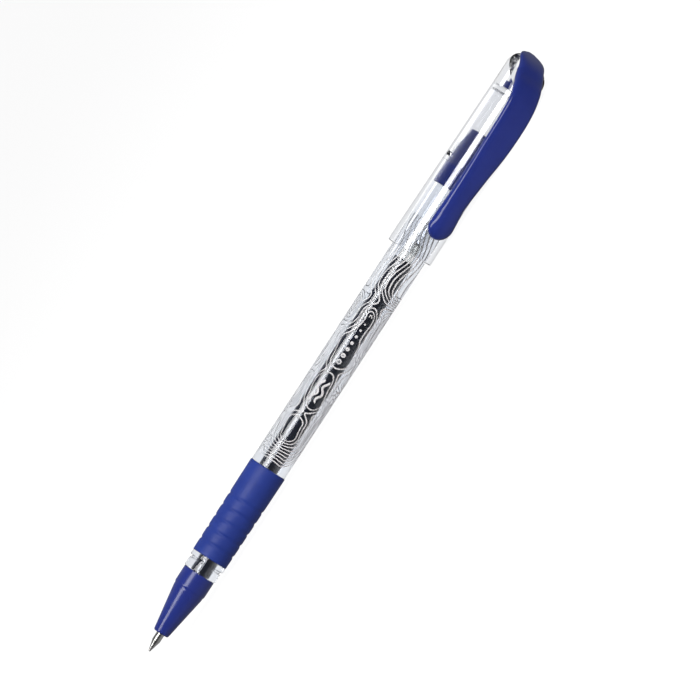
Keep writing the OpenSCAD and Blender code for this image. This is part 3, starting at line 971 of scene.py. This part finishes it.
def film_point(along, u, height):
    """Point of the printed film."""
    return round_axis(along, BARREL_R + height, CAMERA_ELEVATION + u / BARREL_R)


def film_section(bm, first, second):
    """Corners of a printed line's section from one side of it to the other, both as (along, u)."""
    corners = ((first, FILM_LOW), (second, FILM_LOW), (second, FILM_HIGH), (first, FILM_HIGH))
    return [bm.verts.new(film_point(*where, height)) for where, height in corners]


def print_slope(along, u):
    """Slope of print_field, along the pen and round it."""
    step = 0.05
    return (
        (print_field(along + step, u) - print_field(along - step, u)) / (2 * step),
        (print_field(along, u + step) - print_field(along, u - step)) / (2 * step),
    )


def add_wave_lines(bm):
    """Adds the contours of print_field to a bmesh, as thin closed ribbons."""
    columns = int((PRINT_END - PRINT_START) / CELL)
    rows = round(math.tau * BARREL_R / CELL)
    cell_u = math.tau * BARREL_R / rows
    grid = [
        [print_field(PRINT_START + i * CELL, j * cell_u) for j in range(rows)]
        for i in range(columns + 1)
    ]
    made = {}

    def crossing(i, j, di, dj, level):
        """The line's section where a contour crosses a grid edge, made once."""
        key = (i, j % rows, di, dj, level)
        if key not in made:
            a, b = grid[i][j % rows], grid[i + di][(j + dj) % rows]
            t = (level * PITCH - a) / (b - a)
            along, u = PRINT_START + (i + di * t) * CELL, (j + dj * t) * cell_u
            gx, gy = print_slope(along, u)
            slope = max(math.hypot(gx, gy), 1e-6)
            half = min(max(WHITE_SHARE * PITCH / slope / 2, THINNEST), THICKEST)
            half *= 1 - THINNER * min(max(wrapped(u) / 2, 0), 1)
            dx, dy = gx / slope * half, gy / slope * half
            made[key] = film_section(bm, (along - dx, u - dy), (along + dx, u + dy))
        return made[key]

    for i in range(columns):
        for j in range(rows):
            above = (j + 1) % rows
            values = [grid[i][j], grid[i + 1][j], grid[i + 1][above], grid[i][above]]
            if not printed(PRINT_START + i * CELL, sum(values) / 4):
                continue
            edges = [(i, j, 1, 0), (i + 1, j, 0, 1), (i, j + 1, 1, 0), (i, j, 0, 1)]
            for level in range(math.ceil(min(values) / PITCH), math.floor(max(values) / PITCH) + 1):
                if level * PITCH < 0 and PRINT_START + i * CELL < WAVES_FROM:
                    continue
                hit = [
                    edge for edge, (a, b) in zip(edges, ((0, 1), (1, 2), (3, 2), (0, 3)))
                    if (values[a] < level * PITCH) != (values[b] < level * PITCH)
                ]
                for first, second in zip(hit[::2], hit[1::2]):
                    join_rings(bm, crossing(*first, level), crossing(*second, level))


def close_ends(bm):
    """Closes the ends of cut ribbons."""
    loose = [edge for edge in bm.edges if edge.is_boundary]
    bmesh.ops.holes_fill(bm, edges=loose, sides=4)


def add_stroke(bm, points, half_w):
    """Adds a printed stroke with round ends along a list of (along, u) points."""
    path = [Vector(p) for p in points]
    rows = []
    for k, point in enumerate(path):
        run = (path[min(k + 1, len(path) - 1)] - path[max(k - 1, 0)]).normalized()
        ends = min(k, len(path) - 1 - k) / 3
        half = half_w * math.sqrt(max(0.05, 1 - (1 - min(ends, 1)) ** 2))
        off = Vector((-run.y, run.x)) * half
        rows.append(film_section(bm, point - off, point + off))
    for start, end in zip(rows, rows[1:]):
        join_rings(bm, start, end)
    bm.faces.new(rows[0])
    bm.faces.new(reversed(rows[-1]))


def add_dot(bm, along, u, r):
    """Adds a printed dot."""
    angles = [math.tau * k / DOT_SIDES for k in range(DOT_SIDES)]
    add_skin(bm, [
        [film_point(along + r * math.cos(a), u + r * math.sin(a), height) for a in angles]
        for height in (FILM_LOW, FILM_HIGH)
    ])


def add_marks(bm):
    """Adds plain marks in two of the openings: a pair of waves, and a row of dots."""
    runs = [WAVE_STEP * k for k in range(WAVE_POINTS)]
    for level in WAVE_LEVELS:
        wave = [(WAVE_START + run, level + WAVE_SWING * math.sin(run * WAVE_RATE)) for run in runs]
        add_stroke(bm, wave, WAVE_HALF_W)
    for k in range(DOTS):
        add_dot(bm, DOT_START + DOT_PITCH * k, DOT_LEVEL - DOT_FALL * k, DOT_R - DOT_LOSS * k)


def make_print():
    """White wave lines and plain marks printed on the barrel."""
    bm = bmesh.new()
    add_wave_lines(bm)
    close_ends(bm)
    add_marks(bm)
    obj = new_object("wave_print", bm, PRINT)
    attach(obj, "barrel")
    return obj


# ----------------------------------------------------------------------- stage

# Floor: its side in metres, its own grey, and its glow
FLOOR_SIZE = 30
FLOOR_TONE = 0.14
FLOOR_GLOW = 0.93
# Brightness of the backdrop that the camera sees
BACKDROP = 1.02
# Brightness of the room in front of the pen, behind it and below it
ROOM_FRONT = 0.18
ROOM_BACK = 0.9
ROOM_LOW = 0.95
# Share of the room's light that falls on the pen's outside and is mirrored there
OUTER_SHARE = 0.34
# Height of the middle of the strip softbox above the horizon, and its turn out of line with the pen
KEY_ELEVATION = 37
KEY_SLANT = math.radians(-30)
PEN_CENTRE = place((BARREL_START + CROWN_END) / 2, 0, 0)


def make_floor():
    """White sweep that the pen lies on. It glows a little, so that it stays white in every view."""
    bm = bmesh.new()
    bmesh.ops.create_grid(bm, x_segments=1, y_segments=1, size=FLOOR_SIZE / 2)
    mesh = bpy.data.meshes.new("floor")
    bm.to_mesh(mesh)
    bm.free()
    floor = bpy.data.objects.new("floor", mesh)
    bpy.context.scene.collection.objects.link(floor)
    material, tree, shader = new_material("white_floor")
    shader.inputs["Base Color"].default_value = (FLOOR_TONE, FLOOR_TONE, FLOOR_TONE, 1)
    shader.inputs["Roughness"].default_value = 1
    shader.inputs["Specular IOR Level"].default_value = 0
    shader.inputs["Emission Color"].default_value = (1, 1, 1, 1)
    shader.inputs["Emission Strength"].default_value = FLOOR_GLOW
    mesh.materials.append(material)
    floor.visible_glossy = False
    floor.visible_diffuse = False
    floor.visible_transmission = False
    floor.visible_shadow = False


def add_softbox(name, elevation, azimuth, distance, width, length, radiance, seen_by, tint=(1, 1, 1)):
    """Area lamp aimed at the pen, its length along the pen where it is in front or behind. It takes
    degrees and metres, and is seen only by the named kinds of ray."""
    data = bpy.data.lights.new(name, "AREA")
    data.shape = "RECTANGLE"
    data.size = length
    data.size_y = width
    data.energy = radiance * math.pi * length * width
    data.color = tint
    lamp = bpy.data.objects.new(name, data)
    e, a = math.radians(elevation), math.radians(azimuth)
    away = Vector((math.sin(a) * math.cos(e), -math.cos(a) * math.cos(e), math.sin(e)))
    lamp.location = PEN_CENTRE + away * distance
    lamp.rotation_euler = (-away).to_track_quat("-Z", "Y").to_euler()
    lamp.visible_camera = False
    lamp.visible_diffuse = "diffuse" in seen_by
    lamp.visible_glossy = "glossy" in seen_by
    lamp.visible_transmission = "transmission" in seen_by
    bpy.context.scene.collection.objects.link(lamp)
    return lamp


def make_lights():
    """Strip softbox above the camera, turned out of line with the pen, and its helpers."""
    everything = ("diffuse", "glossy", "transmission")
    soft = ("diffuse",)
    through_clear = ("transmission",)
    key = add_softbox("key_strip", KEY_ELEVATION, 0, 0.45, 0.16, 0.9, 6.4, everything)
    key.rotation_euler.rotate_axis("Z", KEY_SLANT)
    # A broader, fainter band that is seen only through the clear plastic
    add_softbox("inner_strip", 30, 0, 0.45, 0.22, 0.9, 5, through_clear)
    # Soft fills that are neither mirrored nor seen through the clear plastic
    add_softbox("top_fill", 50, 0, 0.8, 0.5, 0.8, 1.9, soft)
    add_softbox("front_fill", -25, 0, 0.8, 0.9, 1.2, 0.6, soft, (1, 0.78, 0.72))
    add_softbox("back_fill", 50, 180, 0.7, 0.4, 1.0, 1.3, soft)
    # A narrow lamp behind the pen, towards the cap's end, for the cap's clear left side
    add_softbox("cap_back", 50, 171, 0.7, 0.4, 0.09, 1.1, through_clear)


def make_world():
    """White backdrop for the camera and for what is seen straight through the clear plastic. What is
    lit or reflected by the pen sees the room: bright behind the pen and below it, dim in front."""
    world = bpy.data.worlds.new("studio")
    world.use_nodes = True
    tree = world.node_tree

    def node(kind, operation=None, **values):
        made = tree.nodes.new(kind)
        if operation:
            made.operation = operation
        for name, value in values.items():
            made.inputs[name.replace("_", " ")].default_value = value
        return made

    def link(source, target):
        tree.links.new(source, target)

    room = tree.nodes["Background"]
    backdrop = node("ShaderNodeBackground", Color=(1, 1, 1, 1), Strength=BACKDROP)
    path = node("ShaderNodeLightPath")
    direct = node("ShaderNodeMath", "MAXIMUM")
    link(path.outputs["Is Camera Ray"], direct.inputs[0])
    link(path.outputs["Is Transmission Ray"], direct.inputs[1])
    mirrored = node("ShaderNodeMath", "ADD")
    link(path.outputs["Glossy Depth"], mirrored.inputs[0])
    link(path.outputs["Diffuse Depth"], mirrored.inputs[1])
    straight = node("ShaderNodeMath", "LESS_THAN")
    straight.inputs[1].default_value = 0.5
    link(mirrored.outputs["Value"], straight.inputs[0])
    seen = node("ShaderNodeMath", "MULTIPLY")
    link(direct.outputs["Value"], seen.inputs[0])
    link(straight.outputs["Value"], seen.inputs[1])

    where = node("ShaderNodeTexCoord")
    split = node("ShaderNodeSeparateXYZ")
    link(where.outputs["Generated"], split.inputs["Vector"])
    behind = node(
        "ShaderNodeMapRange", From_Min=-0.25, From_Max=0.45, To_Min=ROOM_FRONT, To_Max=ROOM_BACK
    )
    link(split.outputs["Y"], behind.inputs["Value"])
    below = node("ShaderNodeMapRange", From_Min=-0.8, From_Max=-0.3, To_Min=ROOM_LOW, To_Max=0)
    link(split.outputs["Z"], below.inputs["Value"])
    strength = node("ShaderNodeMath", "MAXIMUM")
    link(behind.outputs["Result"], strength.inputs[0])
    link(below.outputs["Result"], strength.inputs[1])
    inner = node("ShaderNodeMapRange", To_Min=OUTER_SHARE, To_Max=1)
    link(path.outputs["Is Transmission Ray"], inner.inputs["Value"])
    dimmed = node("ShaderNodeMath", "MULTIPLY")
    link(strength.outputs["Value"], dimmed.inputs[0])
    link(inner.outputs["Result"], dimmed.inputs[1])
    link(dimmed.outputs["Value"], room.inputs["Strength"])
    room.inputs["Color"].default_value = (0.97, 0.98, 1, 1)

    mix = node("ShaderNodeMixShader")
    link(seen.outputs["Value"], mix.inputs["Fac"])
    link(room.outputs["Background"], mix.inputs[1])
    link(backdrop.outputs["Background"], mix.inputs[2])
    link(mix.outputs["Shader"], tree.nodes["World Output"].inputs["Surface"])
    bpy.context.scene.world = world


# Camera: distance in metres, turn about its line of sight, width of the view at the pen in mm, and
# the point aimed at: its place along the pen, and how far it is below the axis in the view
CAMERA_DISTANCE = 2.0
CAMERA_TURN = math.radians(56.9)
FRAME_WIDTH = 162.9
AIM_ALONG = 84.25
AIM_BELOW = 0.88


def make_camera():
    """Long-lens camera in front of the pen, turned so that the cap points to the upper right."""
    data = bpy.data.cameras.new("camera")
    data.sensor_width = 36
    data.lens = data.sensor_width * CAMERA_DISTANCE / (FRAME_WIDTH * MM)
    data.clip_start = 0.05
    data.clip_end = 60
    camera = bpy.data.objects.new("camera", data)
    bpy.context.scene.collection.objects.link(camera)
    back = Vector((0, -math.cos(CAMERA_ELEVATION), math.sin(CAMERA_ELEVATION)))
    up = Vector((0, math.sin(CAMERA_ELEVATION), math.cos(CAMERA_ELEVATION)))
    aim = place(AIM_ALONG, 0, 0) - up * AIM_BELOW * MM
    camera.location = aim + back * CAMERA_DISTANCE
    camera.rotation_euler = (-back).to_track_quat("-Z", "Y").to_euler()
    camera.rotation_euler.rotate_axis("Z", -CAMERA_TURN)
    bpy.context.scene.camera = camera


def set_look():
    """Plain colours, and enough light bounces for clear plastic inside clear plastic."""
    scene = bpy.context.scene
    scene.view_settings.view_transform = "Standard"
    scene.cycles.max_bounces = 40
    scene.cycles.transmission_bounces = 40
    scene.cycles.glossy_bounces = 16
    scene.cycles.diffuse_bounces = 4
    scene.cycles.transparent_max_bounces = 48
    scene.cycles.caustics_reflective = False
    scene.cycles.caustics_refractive = False
    scene.cycles.blur_glossy = 0.3
    scene.cycles.use_denoising = True
    scene.cycles.denoising_input_passes = "RGB"


make_camera()
finish_piece(make_barrel(), "barrel", "clear_plastic", "barrel")
finish_piece(make_grip(), "barrel", "blue_rubber", "grip_sleeve")
finish_piece(make_plug(), "barrel", "blue_plastic", "rear_plug")
finish_piece(make_nose(), "nose", "blue_plastic", "nose_cone")
finish_piece(make_tube(), "refill", "tube_plastic", "refill_tube")
finish_piece(make_ink(), "refill", "gel_ink", "ink_column")
finish_piece(make_grease(), "refill", "grease", "ink_follower")
finish_piece(make_holder(), "refill", "holder_plastic", "tip_holder")
finish_piece(make_steel_tip(), "refill", "tip_metal", "tip_body")
finish_piece(make_ball(), "ball", "ball_metal", "tip_ball")
finish_piece(make_cap(), "cap", "clear_plastic", "cap_shell")
finish_piece(make_inner_cap(), "cap", "frosted_plastic", "inner_cap")
make_clip()
make_print()
make_floor()
make_lights()
make_world()
set_look()
